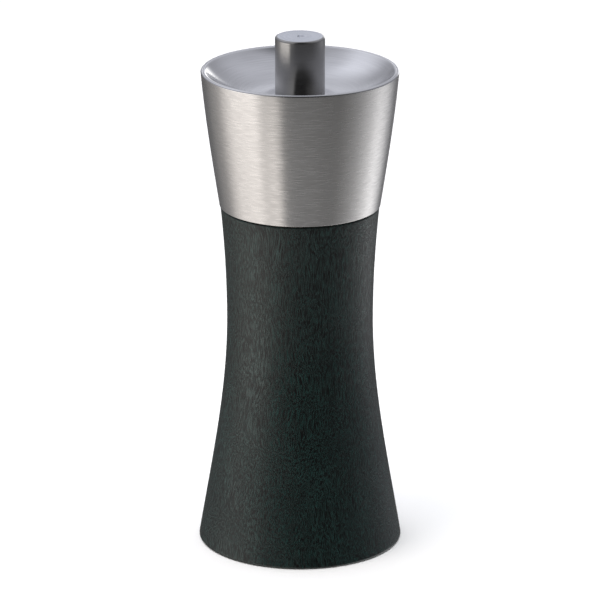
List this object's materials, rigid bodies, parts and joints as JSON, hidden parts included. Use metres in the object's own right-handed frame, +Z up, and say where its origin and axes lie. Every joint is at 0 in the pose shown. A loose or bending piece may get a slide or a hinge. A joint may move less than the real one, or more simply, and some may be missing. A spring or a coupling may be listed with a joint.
{
  "type": "pepper mill",
  "caption": "Hand-turned pepper mill: waisted black wooden body, flaring brushed steel head with a dished top, and a central knob that sets the grind.",
  "frame": {"origin": "middle of the wooden base, on the surface that the mill stands on", "axes": "+Z up along the common axis of body, head, spindle and knob; X and Y are free, the bridge over the burrs lies along Y"},
  "size_m": [0.0704, 0.0704, 0.18],
  "materials": {
    "black_stained_beech": "black stain under a satin lacquer, grain upright",
    "plain_beech": "turned, unfinished",
    "black_nylon": "moulded, fine texture",
    "white_acetal": "moulded, satin",
    "fired_ceramic": "unglazed, ground faces",
    "spring_steel": "hard drawn, oiled",
    "plated_steel": "zinc plated",
    "drawn_steel_rod": "bright drawn",
    "brushed_stainless": "brushed around the axis",
    "polished_stainless": "polished over fine turning lines",
    "dark_brushed_stainless": "brushed around the axis",
    "turned_brass": "turned",
    "nitrile_rubber": "moulded"
  },
  "bodies": {
    "body": {"wood_body": "black_stained_beech", "neck_bearing": "black_nylon", "grinder_housing": "black_nylon", "stator_burr": "fired_ceramic", "stator_snap_ring": "spring_steel", "housing_screws": "plated_steel"},
    "bush": {"drive_bush": "white_acetal", "burr_spring": "spring_steel"},
    "spindle": {"spindle": "drawn_steel_rod", "rotor_carrier": "drawn_steel_rod", "rotor_burr": "fired_ceramic", "spring_washer": "plated_steel", "rotor_washer": "plated_steel", "rotor_clip": "spring_steel"},
    "head": {"head_shell": "brushed_stainless", "top_dish": "polished_stainless", "head_core": "plain_beech", "spindle_guide": "turned_brass", "drive_plate": "plated_steel", "drive_plate_screws": "plated_steel", "plug_o_ring": "nitrile_rubber"},
    "knob": {"adjusting_knob": "dark_brushed_stainless", "knob_insert": "turned_brass", "knob_washer": "white_acetal"}
  },
  "joints": [
    {"name": "head_turn", "type": "hinge", "parent": "body", "child": "bush", "pos_m": [0, 0, 0.034], "axis": [0, 0, 1], "continuous": true},
    {"name": "head_lift", "type": "slide", "parent": "bush", "child": "head", "axis": [0, 0, 1], "range_m": [0, 0.08]},
    {"name": "knob_turn", "type": "hinge", "parent": "head", "child": "knob", "pos_m": [0, 0, 0.165], "axis": [0, 0, 1], "range_deg": [-300, 540]},
    {"name": "spindle_adjust", "type": "slide", "parent": "bush", "child": "spindle", "axis": [0, 0, 1], "range_m": [-0.0015, 0.00083], "deforming": ["burr_spring"]}
  ],
  "couplings": [
    {"joint": "knob_turn", "follows": "spindle_adjust", "rad_per_m": -6283.2}
  ]
}
